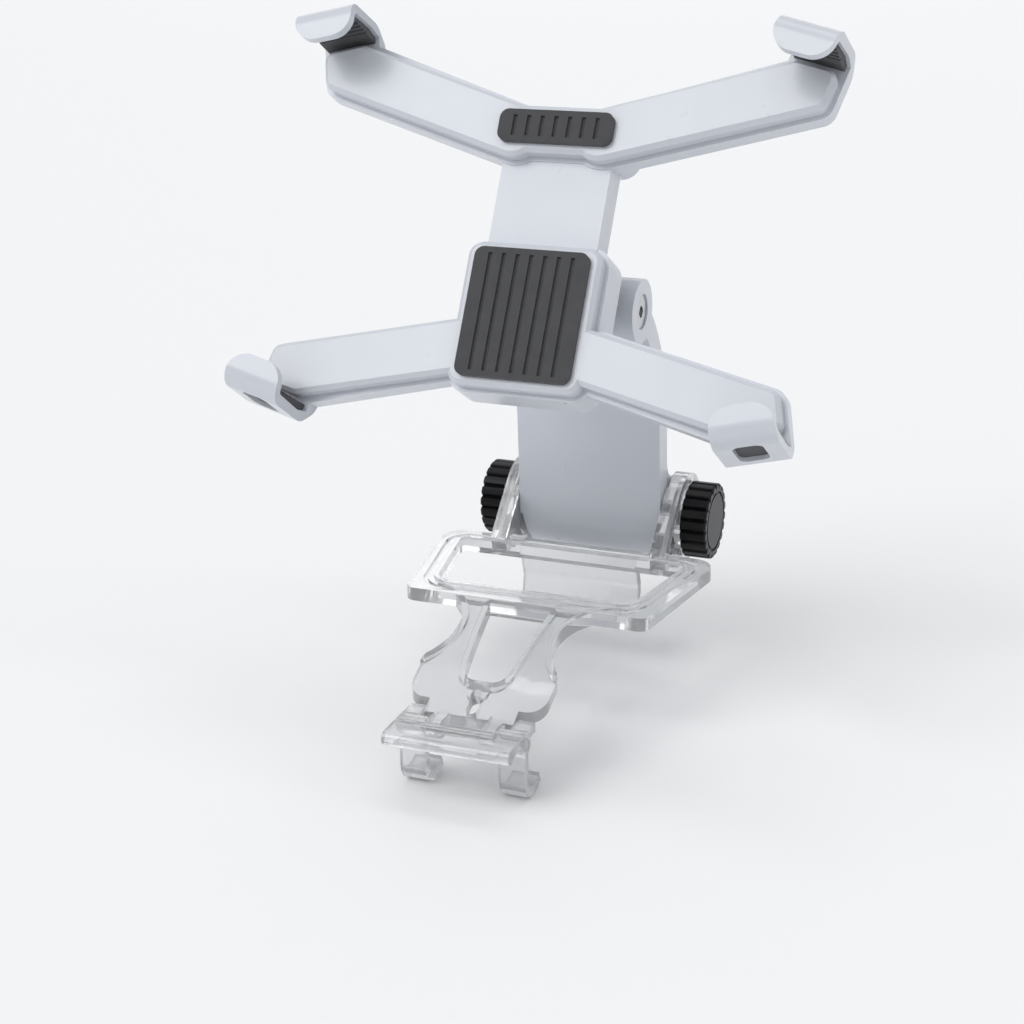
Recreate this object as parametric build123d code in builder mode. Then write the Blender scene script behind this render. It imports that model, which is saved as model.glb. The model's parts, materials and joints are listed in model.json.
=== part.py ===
"""Phone clamp on a snap-on base.

A clear base hooks over its host at the back and latches at the front. A flat stem tilts
between two ears at the base's rear edge, held by two fluted knobs. The head tilts on the
stem's forked top, and carries four claws on two V-shaped jaws. The upper jaw slides
against two springs.

Frame: origin on the underside of the base, under the bar between its two windows.
+X to the right, +Y to the back, +Z up from the seat. Millimetres.
"""
import os
from math import asin, cos, degrees, radians, sin, sqrt

from build123d import *

os.makedirs("parts", exist_ok=True)

# Gaps shared by the fits
RUN = 0.05          # shaft in a hole that turns on it, all round
SLIDE = 0.3         # flat faces that move past each other
SEAT = 0.3          # between a moving piece and the stop it rests near

# Base rails round the big window
RAIL_THICK = 3.0
WINDOW_FRONT_HALF = 22.5
WINDOW_REAR_HALF = 27.1
WINDOW_FRONT_Y = 3.0
WINDOW_DEPTH = 26.0
WINDOW_FRONT_ROUND = 4.0
WINDOW_REAR_ROUND = 1.6
RAIL_WIDTH = 6.0
REAR_RAIL_WIDTH = 5.4
FRONT_BAR = 5.4
RAIL_CORNER = 5.0
FRONT_BAR_SHORT = 1.0   # front bar's ends stop this far inside the rails
BEAD_WIDTH = 1.0
BEAD_HEIGHT = 0.6
GROOVE_INSET = 2.4
GROOVE_WIDTH = 1.0
GROOVE_DEPTH = 0.6

# Yoke plate that falls away in front of the window
PLATE_THICK = 2.2
PLATE_START_SLOPE = 9.0
PLATE_R = 103.0
LOBE_HALF = 15.0
LOBE_TOP_Y = -19.5
TAIL_HALF = 9.7
TAIL_Y = -33.2
TAIL_STEP = 3.0
LOBE_ROUND = 3.8
LOBE_SHOULDER = 2.2      # rounding where a lobe meets its gate
GATE_X = 23.3
GATE_Y = -12.0
GATE_R = 12.4
GATES = [(GATE_X, GATE_Y), (-GATE_X, GATE_Y)]
SMALL_REAR_HALF = 7.0
SMALL_FRONT_HALF = 4.5
SMALL_REAR_Y = -3.6
SMALL_DEPTH = 22.0
SMALL_ROUND = 3.0
RIM_WIDTH = 1.3
RIM_HEIGHT = 0.7
KEYHOLE_Y = -30.0
KEYHOLE_LENGTH = 4.6
KEYHOLE_WIDTH = 2.4

# Stem hinge and the ears that hold it
HINGE_Y = 50.0
HINGE_Z = 6.5
EAR_THICK = 3.6
EAR_R = 10.6
EAR_WEB = 1.9
EAR_RIM = 2.3
EAR_FOOT_Y = 32.6
EAR_FOOT_Z = 1.6
EAR_FOOT_R = 2.0
EAR_SPOT = 0.6       # how far the ear's flat seat shows round the washer
ARCH_R = 4.6
ARCH_Y = 39.6
ARCH_Z = -4.4
KNOB_SCREW_R = 2.0

# Rear hook under the back rail
HOOK_HALF = 14.0
HOOK_WALL = 2.2
HOOK_DROP = 12.0
HOOK_LIP = 3.4
HOOK_BULGE = 1.0
HOOK_ROUND = 1.6

# Front latch
LATCH_PIN_Y = -36.2
LATCH_DROP = 2.4        # pin below the tail's top edge
LATCH_PIN_R = 1.0
LATCH_HALF = 13.6
LATCH_DEPTH = 11.2
LATCH_PLATE = 2.0
LATCH_GAP = 0.4
TAB_GAP = 0.8            # end tabs to the lobes behind them
KNUCKLE_R = 2.6
KNUCKLE_ROOT_R = 1.2
KNUCKLE_INNER = 4.4
KNUCKLE_OUTER = 7.4
LEG_WIDTH = 5.6
LEG_THICK = 2.2
LEG_LENGTH = 13.2
LEG_HOOK_REACH = 7.6
LEG_HOOK_RISE = 2.6
LEG_BEND_R = 3.4
LATCH_LIP_R = 1.5
LATCH_RIDGE_R = 0.8
LATCH_RIDGE_HALF = 8.6
LATCH_RIDGE_AT = 0.66    # share of the ledge's depth
LATCH_LINE_AT = 0.5
LATCH_LINE = 0.5
LATCH_COIL_R = 1.7

# Stem
STEM_HALF = 17.1
STEM_THICK = 5.6
BARREL_R = 9.4
STEM_LEAN = 2.5
STEM_STRAIGHT = 24.5
BEND_R = 39.3
BEND_TURN = 51.6
BARREL_BLEND = 6.0
STEM_WALL = 1.8
STEM_COVER_INSET = 2.4
INSERT_R = 3.2
INSERT_LENGTH = 8.0
STEM_TOE_HALF = 14.4
STEM_TOE_RISE = 7.0
STEM_TOE_DEPTH = 4.5
STEM_TOE_BULGE = 1.2
POCKET_MARGIN = 6.0      # solid stem left round the fork
FORK_GAP = 1.6           # room round the lug in the fork

# Knobs
KNOB_R = 8.8
KNOB_THICK = 6.0
KNOB_FLUTES = 20
FLUTE_WIDTH = 1.1
FLUTE_DEPTH = 0.8
WASHER_R = 6.0
WASHER_THICK = 0.6
KNOB_FACE_R = 7.0
KNOB_RING = 0.6
KNOB_RING_DEPTH = 0.4
KNOB_EDGE = 0.35
KNOB_HEX_R = 3.5
KNOB_HEX_DEPTH = 3.0

# Neck: fork on the stem, lug on the head
FORK_R = 7.0
LUG_HALF = 9.0
LUG_R = 6.4
NECK_WASHER = 0.5
NECK_WASHER_R = 6.0
NECK_KEY_R = 1.4
NECK_BOLT_R = 2.0
NECK_HEAD_R = 3.8
NECK_HEAD_DEPTH = 2.2
NECK_REACH = 30.0    # hinge of the head behind the middle of the grip
NECK_DROP = 8.6      # and below it

# Head, drawn upright: X across, +Y to the back, +Z up the grip, origin in its middle
HEAD_LEAN = 30.6
GRIP_HEIGHT = 78.3
GRIP_THICK = 8.0
PAD_FACE_Y = GRIP_THICK / 2 + 0.2
PAD_THICK = 1.3
PAD_SIDE = 3.0           # pad's edge inside the body's sides
PAD_END = 2.5            # and inside its ends
PAD_GROOVES = 7
PAD_PITCH = 3.0
PAD_GROOVE_WIDTH = 0.9
PAD_GROOVE_DEPTH = 0.5
PAD_GROOVE_END = 1.25
COVER_THICK = 3.3
ARM_THICK = 3.8
BODY_DEPTH = 8.7
BODY_HALF = 15.5
BODY_BOTTOM = -34.5
BODY_TOP = -2.0
BODY_ROUND = 4.0
BODY_WALL = 2.0
BODY_BACK_WALL = 1.4
TONGUE_HALF = 12.0
TONGUE_WALL = 1.2
TONGUE_END = -18.0
UPPER_BOTTOM = 16.0
UPPER_TOP = 28.0
SPRING_X = 6.0
SPRING_R = 2.0
SPRING_NECK = 1.3
SPRING_TAPER = 1.2
POST_HEIGHT = 3.5
POST_R = 1.4
SPRING_ANCHOR = 3.0      # solid left over the springs in the upper jaw
HUB_X = 9.5
HUB_R = 6.6
HUB_LOWER_Z = -24.5
HUB_UPPER_Z = 21.5
COVER_INSET = 0.9

# Claws
CLAW_X = 51.7
CLAW_SPLAY = 14.0
CLAW_WIDTH = 12.8
CLAW_WALL = 2.1
LIP_HEIGHT = 4.2
CLAW_FLOOR = 1.1
FLOOR_DROP = 0.4         # floor's fall to the back, inside the claw
CLAW_HEEL = 4.2
CLAW_HEEL_Y = 8.2
CLAW_BACK = 0.8          # hook's back corner, outside the grip's edge
HEEL_TOE = 3.0
CLAW_LAP = 2.0        # how far a claw's back laps onto its arm
CLAW_LIP_ROUND = 4.6
CLAW_CORNER = 3.4       # of the arm's end, seen from the front
CLAW_BEND = 4.2         # lip into floor
HEEL_ROUND = 4.0
HEEL_BACK_ROUND = 3.0
CLAW_INNER_ROUND = 1.2
CLAW_EDGE = 0.4
CLAW_PAD = 0.9
LINER_SHORT = 1.6     # liner stops this far below the lip's edge
LINER_FLUSH = 0.25    # and this far outside the grip's edge
LINER_PITCH = 1.6
LINER_GROOVES = 5
LINER_GROOVE_R = 0.4
CLAW_SLOT_WIDTH = 6.0
CLAW_SLOT_FRONT = -3.6
CLAW_SLOT_BACK = 5.3
CLAW_SLOT_ROUND = 1.6

# Bracket behind the head
BRACKET_PLATE = 2.6
BRACKET_WIDTH = 29.4
BRACKET_HEIGHT = 24.0
BRACKET_Z = -16.0
LUG_FOOT = 1.0           # lug's root is this much taller than its eye, each way
BRACKET_SCREW_X = 11.9
BRACKET_SCREW_Z = 8.5

# Screws
SCREW_R = 1.25
SCREW_HEAD_R = 2.4
SCREW_HEAD = 1.2
ARM_SCREW_SHARES = (0.3, 0.74)    # places along an arm, from hub to claw

# Places worked out from the sizes above
plate_start = radians(PLATE_START_SLOPE)
plate_centre = (WINDOW_FRONT_Y + PLATE_R * sin(plate_start), RAIL_THICK - PLATE_R * cos(plate_start))
plate_turn = degrees(asin((plate_centre[0] - TAIL_Y) / (PLATE_R - PLATE_THICK))) - PLATE_START_SLOPE
TAIL_Z = plate_centre[1] + sqrt(PLATE_R**2 - (plate_centre[0] - TAIL_Y) ** 2)
LOBE_END_Y = TAIL_Y + TAIL_STEP
LATCH_PIN_Z = TAIL_Z - LATCH_DROP
LATCH_TOP_Z = LATCH_PIN_Z + KNUCKLE_R
LEG_BOTTOM_Z = LATCH_PIN_Z - LEG_LENGTH
LIP_OUTER_Y = -GRIP_THICK / 2 - CLAW_PAD - CLAW_WALL
LIP_INNER_Y = LIP_OUTER_Y + CLAW_WALL
FORK_HALF = LUG_HALF + NECK_WASHER + SLIDE
COVER_FACE_Y = PAD_FACE_Y + PAD_THICK
SEAM_Y = COVER_FACE_Y + COVER_THICK
ARM_BACK_Y = SEAM_Y + ARM_THICK
BODY_BACK_Y = SEAM_Y + BODY_DEPTH
GRIP_EDGE = GRIP_HEIGHT / 2
EAR_INNER = STEM_HALF + SLIDE
EAR_OUTER = EAR_INNER + EAR_THICK
KNOB_INNER = EAR_OUTER + WASHER_THICK
WINDOW_REAR_Y = WINDOW_FRONT_Y + WINDOW_DEPTH
REAR_Y = WINDOW_REAR_Y + REAR_RAIL_WIDTH
FRONT_Y = WINDOW_FRONT_Y - FRONT_BAR

BRACKET_SCREWS = [
    (x, BRACKET_Z + z)
    for x in (-BRACKET_SCREW_X, BRACKET_SCREW_X)
    for z in (-BRACKET_SCREW_Z, BRACKET_SCREW_Z)
]

lean = radians(STEM_LEAN)
stem_start = (HINGE_Y - BARREL_R + STEM_THICK / 2, HINGE_Z)
bend_start = (
    stem_start[0] - STEM_STRAIGHT * sin(lean),
    stem_start[1] + STEM_STRAIGHT * cos(lean),
)
bend_centre = (
    bend_start[0] - BEND_R * cos(lean),
    bend_start[1] - BEND_R * sin(lean),
)
fork_angle = radians(STEM_LEAN + BEND_TURN)
NECK_Y = bend_centre[0] + BEND_R * cos(fork_angle)
NECK_Z = bend_centre[1] + BEND_R * sin(fork_angle)
head_lean = radians(HEAD_LEAN)
GRIP_Y = NECK_Y - NECK_REACH * cos(head_lean) + NECK_DROP * sin(head_lean)
GRIP_Z = NECK_Z + NECK_REACH * sin(head_lean) + NECK_DROP * cos(head_lean)
HEAD_PLACE = Location((0, GRIP_Y, GRIP_Z), (-HEAD_LEAN, 0, 0))
print("head hinge at y %.2f z %.2f, grip middle at y %.2f z %.2f" % (NECK_Y, NECK_Z, GRIP_Y, GRIP_Z))


def finish(piece, name, place=Location()):
    """Label a finished piece, put it in the clamp's frame and write it."""
    piece.part = piece.part.moved(place)
    piece.part.label = name
    export_step(piece.part, f"parts/{name}.step")


def facing(y):
    """A plane across the clamp at depth y, its normal to the front."""
    return Plane(origin=(0, y, 0), x_dir=(1, 0, 0), z_dir=(0, -1, 0))


def across(x):
    """A plane square to X at x, drawn in (y, z)."""
    return Plane(origin=(x, 0, 0), x_dir=(0, 1, 0), z_dir=(1, 0, 0))


# Base: yoke plate
def plate_band(low, high):
    """Side outline of the yoke plate, between two heights over its curved top."""
    with BuildSketch() as band:
        with BuildLine():
            top = CenterArc(plate_centre, PLATE_R + high, 90 + PLATE_START_SLOPE, plate_turn)
            bottom = CenterArc(plate_centre, PLATE_R + low, 90 + PLATE_START_SLOPE, plate_turn)
            Line(top @ 0, bottom @ 0)
            Line(top @ 1, bottom @ 1)
        make_face()
    return band.sketch


# The plate can't drop further than its own radius, so a cut of that length goes right through it
plate_side = plate_band(-PLATE_THICK, 0)
rim_side = plate_band(-PLATE_THICK / 2, RIM_HEIGHT)

with BuildSketch(Plane.XY) as yoke_plan:
    with BuildLine():
        Polyline(
            (0, WINDOW_FRONT_Y), (LOBE_HALF + RAIL_WIDTH, WINDOW_FRONT_Y),
            (LOBE_HALF + RAIL_WIDTH, FRONT_Y), (LOBE_HALF, LOBE_TOP_Y),
            (LOBE_HALF, LOBE_END_Y), (TAIL_HALF, LOBE_END_Y), (TAIL_HALF, TAIL_Y), (0, TAIL_Y),
        )
        mirror(about=Plane.YZ)
    make_face()
    lobes = yoke_plan.vertices().filter_by(
        lambda v: abs(v.X) > TAIL_HALF + LOBE_ROUND and v.Y < LOBE_END_Y + LOBE_ROUND
    )
    fillet(lobes, LOBE_ROUND)
    with Locations(*GATES):
        Circle(GATE_R, mode=Mode.SUBTRACT)
    shoulders = yoke_plan.vertices().filter_by(
        lambda v: abs(abs(v.X) - LOBE_HALF) < RUN and LOBE_END_Y + LOBE_ROUND + RUN < v.Y < GATE_Y
    )
    fillet(shoulders, LOBE_SHOULDER)

with BuildPart() as yoke:
    with BuildSketch(across(0)):
        add(plate_side)
    extrude(amount=LOBE_HALF + RAIL_WIDTH, both=True)
    with BuildSketch(Plane.XY):
        add(yoke_plan.sketch)
    extrude(amount=PLATE_R, both=True, mode=Mode.INTERSECT)

with BuildSketch(Plane.XY) as small_window:
    with BuildLine():
        Polyline(
            (-SMALL_REAR_HALF, SMALL_REAR_Y), (SMALL_REAR_HALF, SMALL_REAR_Y),
            (SMALL_FRONT_HALF, SMALL_REAR_Y - SMALL_DEPTH),
            (-SMALL_FRONT_HALF, SMALL_REAR_Y - SMALL_DEPTH), close=True,
        )
    make_face()
    fillet(small_window.vertices().group_by(Axis.Y)[0], SMALL_ROUND)

with BuildSketch(Plane.XY) as gate_rims:
    with Locations(*GATES):
        Circle(GATE_R + RIM_WIDTH)
    add(yoke_plan.sketch, mode=Mode.INTERSECT)

with BuildPart() as rims:
    with BuildSketch(across(0)):
        add(rim_side)
    extrude(amount=LOBE_HALF + RAIL_WIDTH, both=True)
    with BuildSketch(Plane.XY):
        offset(small_window.sketch, amount=RIM_WIDTH)
        add(gate_rims.sketch)
        with Locations((0, KEYHOLE_Y + KEYHOLE_LENGTH / 2)):
            Circle(KEYHOLE_WIDTH)
    extrude(amount=PLATE_R, both=True, mode=Mode.INTERSECT)

# Base: rails, ears and rear hook
with BuildSketch(Plane.XY) as window:
    with BuildLine():
        Polyline(
            (-WINDOW_FRONT_HALF, WINDOW_FRONT_Y), (WINDOW_FRONT_HALF, WINDOW_FRONT_Y),
            (WINDOW_REAR_HALF, WINDOW_REAR_Y), (-WINDOW_REAR_HALF, WINDOW_REAR_Y), close=True,
        )
    make_face()
    fillet(window.vertices().group_by(Axis.Y)[0], WINDOW_FRONT_ROUND)
    fillet(window.vertices().group_by(Axis.Y)[-1], WINDOW_REAR_ROUND)

with BuildSketch(Plane.XY) as rail_outline:
    front_half = WINDOW_FRONT_HALF + RAIL_WIDTH - FRONT_BAR_SHORT
    rear_half = WINDOW_REAR_HALF + RAIL_WIDTH
    with BuildLine():
        Polyline(
            (-front_half, FRONT_Y), (front_half, FRONT_Y),
            (rear_half, REAR_Y), (-rear_half, REAR_Y), close=True,
        )
    make_face()
    fillet(rail_outline.vertices().group_by(Axis.Y)[-1], RAIL_CORNER)
    fillet(rail_outline.vertices().group_by(Axis.Y)[0], RAIL_CORNER / 2)


def ear_outline(inset=0.0):
    """Side outline of an ear: a round end on a sloping web, arched under."""
    with BuildSketch() as side:
        with BuildSketch():
            with Locations((HINGE_Y, HINGE_Z)):
                Circle(EAR_R)
            with Locations((EAR_FOOT_Y, EAR_FOOT_Z)):
                Circle(EAR_FOOT_R)
            make_hull()
        with Locations((ARCH_Y, ARCH_Z)):
            Circle(ARCH_R, mode=Mode.SUBTRACT)
        if inset:
            offset(amount=-inset)
    return side.sketch


def window_ring(inner, outer):
    """A band round the big window, between two distances from its edge."""
    with BuildSketch() as ring:
        offset(window.sketch, amount=outer)
        with BuildSketch(mode=Mode.SUBTRACT):
            offset(window.sketch, amount=inner)
    return ring.sketch


groove = window_ring(GROOVE_INSET, GROOVE_INSET + GROOVE_WIDTH)
ear_side = ear_outline()
ear_pocket = ear_outline(EAR_RIM)

with BuildPart() as base_frame:
    add(rail_outline.sketch)
    extrude(amount=RAIL_THICK)
    with BuildSketch(Plane.XY):
        offset(window.sketch, amount=BEAD_WIDTH)
    extrude(amount=RAIL_THICK + BEAD_HEIGHT)
    add(yoke.part)
    with BuildSketch(Plane.XY.offset(RAIL_THICK)):
        add(groove)
    extrude(amount=-GROOVE_DEPTH, mode=Mode.SUBTRACT)
    add(rims.part)
    with BuildSketch(Plane.XY):
        add(window.sketch)
        add(small_window.sketch)
        with Locations((0, KEYHOLE_Y)):
            SlotOverall(KEYHOLE_LENGTH, KEYHOLE_WIDTH, rotation=90)
    extrude(amount=PLATE_R, both=True, mode=Mode.SUBTRACT)
    with BuildSketch(across(EAR_INNER), across(-EAR_OUTER)):
        add(ear_side)
    extrude(amount=EAR_THICK)
    for side, outer in ((1, EAR_OUTER), (-1, -EAR_OUTER)):
        with BuildSketch(across(outer)):
            add(ear_pocket)
            with Locations((HINGE_Y, HINGE_Z)):
                Circle(WASHER_R + EAR_SPOT, mode=Mode.SUBTRACT)
        extrude(amount=-side * (EAR_THICK - EAR_WEB), mode=Mode.SUBTRACT)
    with BuildSketch(across(0)):
        with Locations((HINGE_Y, HINGE_Z)):
            Circle(KNOB_SCREW_R + RUN)
    extrude(amount=EAR_OUTER, both=True, mode=Mode.SUBTRACT)
    with BuildSketch(Plane.XY):
        add(rail_outline.sketch)
    extrude(amount=-EAR_R, mode=Mode.SUBTRACT)      # keeps the seat flat
    with BuildSketch(across(-HOOK_HALF)):
        with BuildLine():
            hook = FilletPolyline(
                (REAR_Y - HOOK_WALL / 2, RAIL_THICK / 2), (REAR_Y + HOOK_BULGE, -HOOK_DROP / 2),
                (REAR_Y, -HOOK_DROP), (REAR_Y - HOOK_LIP, -HOOK_DROP), radius=HOOK_ROUND,
            )
        trace(line_width=HOOK_WALL)
    extrude(amount=2 * HOOK_HALF)
    with BuildSketch(across(-KNUCKLE_OUTER), across(KNUCKLE_INNER)):
        with BuildSketch():
            with Locations((LATCH_PIN_Y, LATCH_PIN_Z)):
                Circle(KNUCKLE_R)
            with Locations((TAIL_Y + KNUCKLE_ROOT_R, LATCH_TOP_Z - KNUCKLE_ROOT_R)):
                Circle(KNUCKLE_ROOT_R)
            make_hull()
        with Locations((LATCH_PIN_Y, LATCH_PIN_Z)):
            Circle(LATCH_PIN_R, mode=Mode.SUBTRACT)
    extrude(amount=KNUCKLE_OUTER - KNUCKLE_INNER)
finish(base_frame, "base_frame")

# Front latch: a finger ledge over two hooked legs, turning on a pin
with BuildPart() as front_latch:
    with BuildSketch(across(-LATCH_HALF)):
        with BuildLine():
            Polyline(
                (LATCH_PIN_Y, LATCH_TOP_Z), (TAIL_Y - LATCH_DEPTH, LATCH_TOP_Z),
                (TAIL_Y - LATCH_DEPTH, LATCH_TOP_Z - LATCH_PLATE),
                (LATCH_PIN_Y, LATCH_TOP_Z - LATCH_PLATE), close=True,
            )
        make_face()
        with Locations((TAIL_Y - LATCH_DEPTH, LATCH_TOP_Z - LATCH_LIP_R)):
            Circle(LATCH_LIP_R)
        with Locations((TAIL_Y - LATCH_DEPTH * LATCH_LINE_AT, LATCH_TOP_Z)):
            Rectangle(LATCH_LINE, LATCH_LINE, mode=Mode.SUBTRACT)
        with Locations((LATCH_PIN_Y, LATCH_PIN_Z)):
            Circle(KNUCKLE_R)
    extrude(amount=2 * LATCH_HALF)
    with BuildSketch(across(0)):
        with Locations((TAIL_Y - LATCH_DEPTH * LATCH_RIDGE_AT, LATCH_TOP_Z)):
            Circle(LATCH_RIDGE_R)
    extrude(amount=LATCH_RIDGE_HALF, both=True)
    with BuildSketch(across(-LATCH_HALF), across(LATCH_HALF - LEG_WIDTH)):
        with BuildLine():
            FilletPolyline(
                (LATCH_PIN_Y, LATCH_TOP_Z - LATCH_PLATE / 2), (LATCH_PIN_Y, LEG_BOTTOM_Z),
                (LATCH_PIN_Y + LEG_HOOK_REACH, LEG_BOTTOM_Z + LEG_HOOK_RISE), radius=LEG_BEND_R,
            )
        trace(line_width=LEG_THICK)
    extrude(amount=LEG_WIDTH)
    with BuildSketch(across(-LATCH_HALF), across(TAIL_HALF + LATCH_GAP)):
        with Locations((LATCH_PIN_Y, LATCH_TOP_Z)):
            Rectangle(
                LOBE_END_Y - TAB_GAP - LATCH_PIN_Y, LATCH_PLATE, align=(Align.MIN, Align.MAX),
            )
    extrude(amount=LATCH_HALF - TAIL_HALF - LATCH_GAP)
    with BuildSketch(across(0)):
        with Locations((LATCH_PIN_Y, LATCH_PIN_Z)):
            Circle(KNUCKLE_R + LATCH_GAP)
    extrude(amount=KNUCKLE_OUTER + SEAT, both=True, mode=Mode.SUBTRACT)
    with BuildSketch(across(0)):
        with Locations((LATCH_PIN_Y, LATCH_PIN_Z)):
            Circle(LATCH_PIN_R + RUN)
    extrude(amount=LATCH_HALF, both=True, mode=Mode.SUBTRACT)
finish(front_latch, "front_latch")

with BuildPart() as latch_pin:
    with BuildSketch(across(0)):
        with Locations((LATCH_PIN_Y, LATCH_PIN_Z)):
            Circle(LATCH_PIN_R)
    extrude(amount=LATCH_HALF, both=True)
finish(latch_pin, "latch_pin")

with BuildPart() as latch_spring:
    with BuildSketch(across(-KNUCKLE_INNER + SEAT)):
        with Locations((LATCH_PIN_Y, LATCH_PIN_Z)):
            Circle(LATCH_COIL_R)
            Circle(LATCH_PIN_R, mode=Mode.SUBTRACT)
    extrude(amount=2 * (KNUCKLE_INNER - SEAT))
finish(latch_spring, "latch_spring")


# Stem
def stem_band(front, back):
    """Side outline of a curved strip of the stem, front and back measured from its middle."""
    with BuildSketch() as band:
        with BuildLine():
            edges = []
            for shift in (front, back):
                low = (stem_start[0] + shift * cos(lean), stem_start[1] + shift * sin(lean))
                high = (bend_start[0] + shift * cos(lean), bend_start[1] + shift * sin(lean))
                Line(low, high)
                bend = CenterArc(bend_centre, BEND_R + shift, STEM_LEAN, BEND_TURN)
                edges.append((low, bend @ 1))
            Line(edges[0][0], edges[1][0])
            Line(edges[0][1], edges[1][1])
        make_face()
    return band.sketch


stem_strip = stem_band(-STEM_THICK / 2, STEM_THICK / 2)
stem_pocket = stem_band(-STEM_THICK / 2 + STEM_WALL, STEM_THICK)
stem_lid = stem_band(STEM_THICK / 2 - STEM_WALL, STEM_THICK / 2)

with BuildSketch() as stem_side:
    add(stem_strip)
    with Locations((HINGE_Y, HINGE_Z)):
        Circle(BARREL_R)
    with Locations((NECK_Y, NECK_Z)):
        Circle(FORK_R)
    corner = stem_side.vertices().sort_by_distance(
        (HINGE_Y - BARREL_R + STEM_THICK, HINGE_Z + BARREL_R)
    )[0]
    fillet(corner, BARREL_BLEND)

with BuildPart() as stem_shell:
    with BuildSketch(across(0)):
        add(stem_side.sketch)
    extrude(amount=STEM_HALF, both=True)
    with BuildSketch(across(0)):
        add(stem_pocket)
        with Locations((HINGE_Y, HINGE_Z)):
            Circle(BARREL_R + BARREL_BLEND / 2, mode=Mode.SUBTRACT)
        with Locations((NECK_Y, NECK_Z)):
            Circle(FORK_R + POCKET_MARGIN, mode=Mode.SUBTRACT)
    extrude(amount=STEM_HALF - STEM_COVER_INSET, both=True, mode=Mode.SUBTRACT)
    with BuildSketch(across(0)):
        with Locations((NECK_Y, NECK_Z)):
            Circle(FORK_R + FORK_GAP)
    extrude(amount=FORK_HALF, both=True, mode=Mode.SUBTRACT)
    with BuildSketch(across(0)):
        with Locations((NECK_Y, NECK_Z)):
            Circle(NECK_BOLT_R)
    extrude(amount=STEM_HALF, both=True, mode=Mode.SUBTRACT)
    with BuildSketch(across(STEM_HALF), across(-STEM_HALF + NECK_HEAD_DEPTH)):
        with Locations((NECK_Y, NECK_Z)):
            Circle(NECK_HEAD_R)
    extrude(amount=-NECK_HEAD_DEPTH, mode=Mode.SUBTRACT)
    with BuildSketch(across(STEM_HALF), across(-STEM_HALF + INSERT_LENGTH)):
        with Locations((HINGE_Y, HINGE_Z)):
            Circle(INSERT_R)
    extrude(amount=-INSERT_LENGTH, mode=Mode.SUBTRACT)
    with BuildSketch(facing(HINGE_Y - BARREL_R)):
        for side in (1, -1):
            with BuildLine():
                low = HINGE_Z - BARREL_R
                Polyline(
                    (side * STEM_TOE_HALF, low), (side * STEM_HALF, low),
                    (side * STEM_HALF, HINGE_Z + STEM_TOE_RISE),
                )
                ThreePointArc(
                    (side * STEM_HALF, HINGE_Z + STEM_TOE_RISE),
                    (side * (STEM_TOE_HALF + STEM_HALF + STEM_TOE_BULGE) / 2, HINGE_Z - STEM_TOE_BULGE),
                    (side * STEM_TOE_HALF, low),
                )
            make_face()
    extrude(amount=-STEM_TOE_DEPTH, mode=Mode.SUBTRACT)
finish(stem_shell, "stem_shell")

with BuildPart() as stem_cover:
    with BuildSketch(across(0)):
        add(stem_lid)
        with Locations((HINGE_Y, HINGE_Z)):
            Circle(BARREL_R + BARREL_BLEND / 2, mode=Mode.SUBTRACT)
        with Locations((NECK_Y, NECK_Z)):
            Circle(FORK_R + POCKET_MARGIN, mode=Mode.SUBTRACT)
    extrude(amount=STEM_HALF - STEM_COVER_INSET, both=True)
finish(stem_cover, "stem_cover")

# Knobs, their screws, washers and the brass inserts they bite in
with BuildSketch() as flute:
    with BuildLine():
        Polyline((0, 0), (2 * FLUTE_DEPTH, FLUTE_WIDTH), (2 * FLUTE_DEPTH, -FLUTE_WIDTH), close=True)
    make_face()

with BuildPart() as knob:
    with BuildSketch(across(KNOB_INNER)):
        with Locations((HINGE_Y, HINGE_Z)):
            Circle(KNOB_R)
            with PolarLocations(KNOB_R - FLUTE_DEPTH, KNOB_FLUTES):
                add(flute.sketch, mode=Mode.SUBTRACT)
    extrude(amount=KNOB_THICK)
    chamfer(knob.faces().sort_by(Axis.X)[-1].edges(), KNOB_EDGE)
    with BuildSketch(across(KNOB_INNER + KNOB_THICK)):
        with Locations((HINGE_Y, HINGE_Z)):
            Circle(KNOB_FACE_R)
            Circle(KNOB_FACE_R - KNOB_RING, mode=Mode.SUBTRACT)
    extrude(amount=-KNOB_RING_DEPTH, mode=Mode.SUBTRACT)
    with BuildSketch(across(KNOB_INNER)):
        with Locations((HINGE_Y, HINGE_Z)):
            RegularPolygon(KNOB_HEX_R, 6)
    extrude(amount=KNOB_HEX_DEPTH, mode=Mode.SUBTRACT)

with BuildPart() as knob_screw:
    with BuildSketch(across(KNOB_INNER)):
        with Locations((HINGE_Y, HINGE_Z)):
            RegularPolygon(KNOB_HEX_R, 6)
    extrude(amount=KNOB_HEX_DEPTH)
    with BuildSketch(across(STEM_HALF - INSERT_LENGTH + SEAT)):
        with Locations((HINGE_Y, HINGE_Z)):
            Circle(KNOB_SCREW_R)
    extrude(amount=KNOB_INNER - STEM_HALF + INSERT_LENGTH - SEAT)

with BuildPart() as washer:
    with BuildSketch(across(EAR_OUTER)):
        with Locations((HINGE_Y, HINGE_Z)):
            Circle(WASHER_R)
            Circle(KNOB_SCREW_R + RUN, mode=Mode.SUBTRACT)
    extrude(amount=WASHER_THICK)

with BuildPart() as insert:
    with BuildSketch(across(STEM_HALF - INSERT_LENGTH)):
        with Locations((HINGE_Y, HINGE_Z)):
            Circle(INSERT_R)
            Circle(KNOB_SCREW_R + RUN, mode=Mode.SUBTRACT)
    extrude(amount=INSERT_LENGTH)

for right, name in ((knob, "knob"), (knob_screw, "knob_screw"), (washer, "washer"), (insert, "insert")):
    with BuildPart() as left:
        mirror(right.part, about=Plane.YZ)
    finish(left, name + "_left")
    finish(right, name + "_right")

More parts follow.
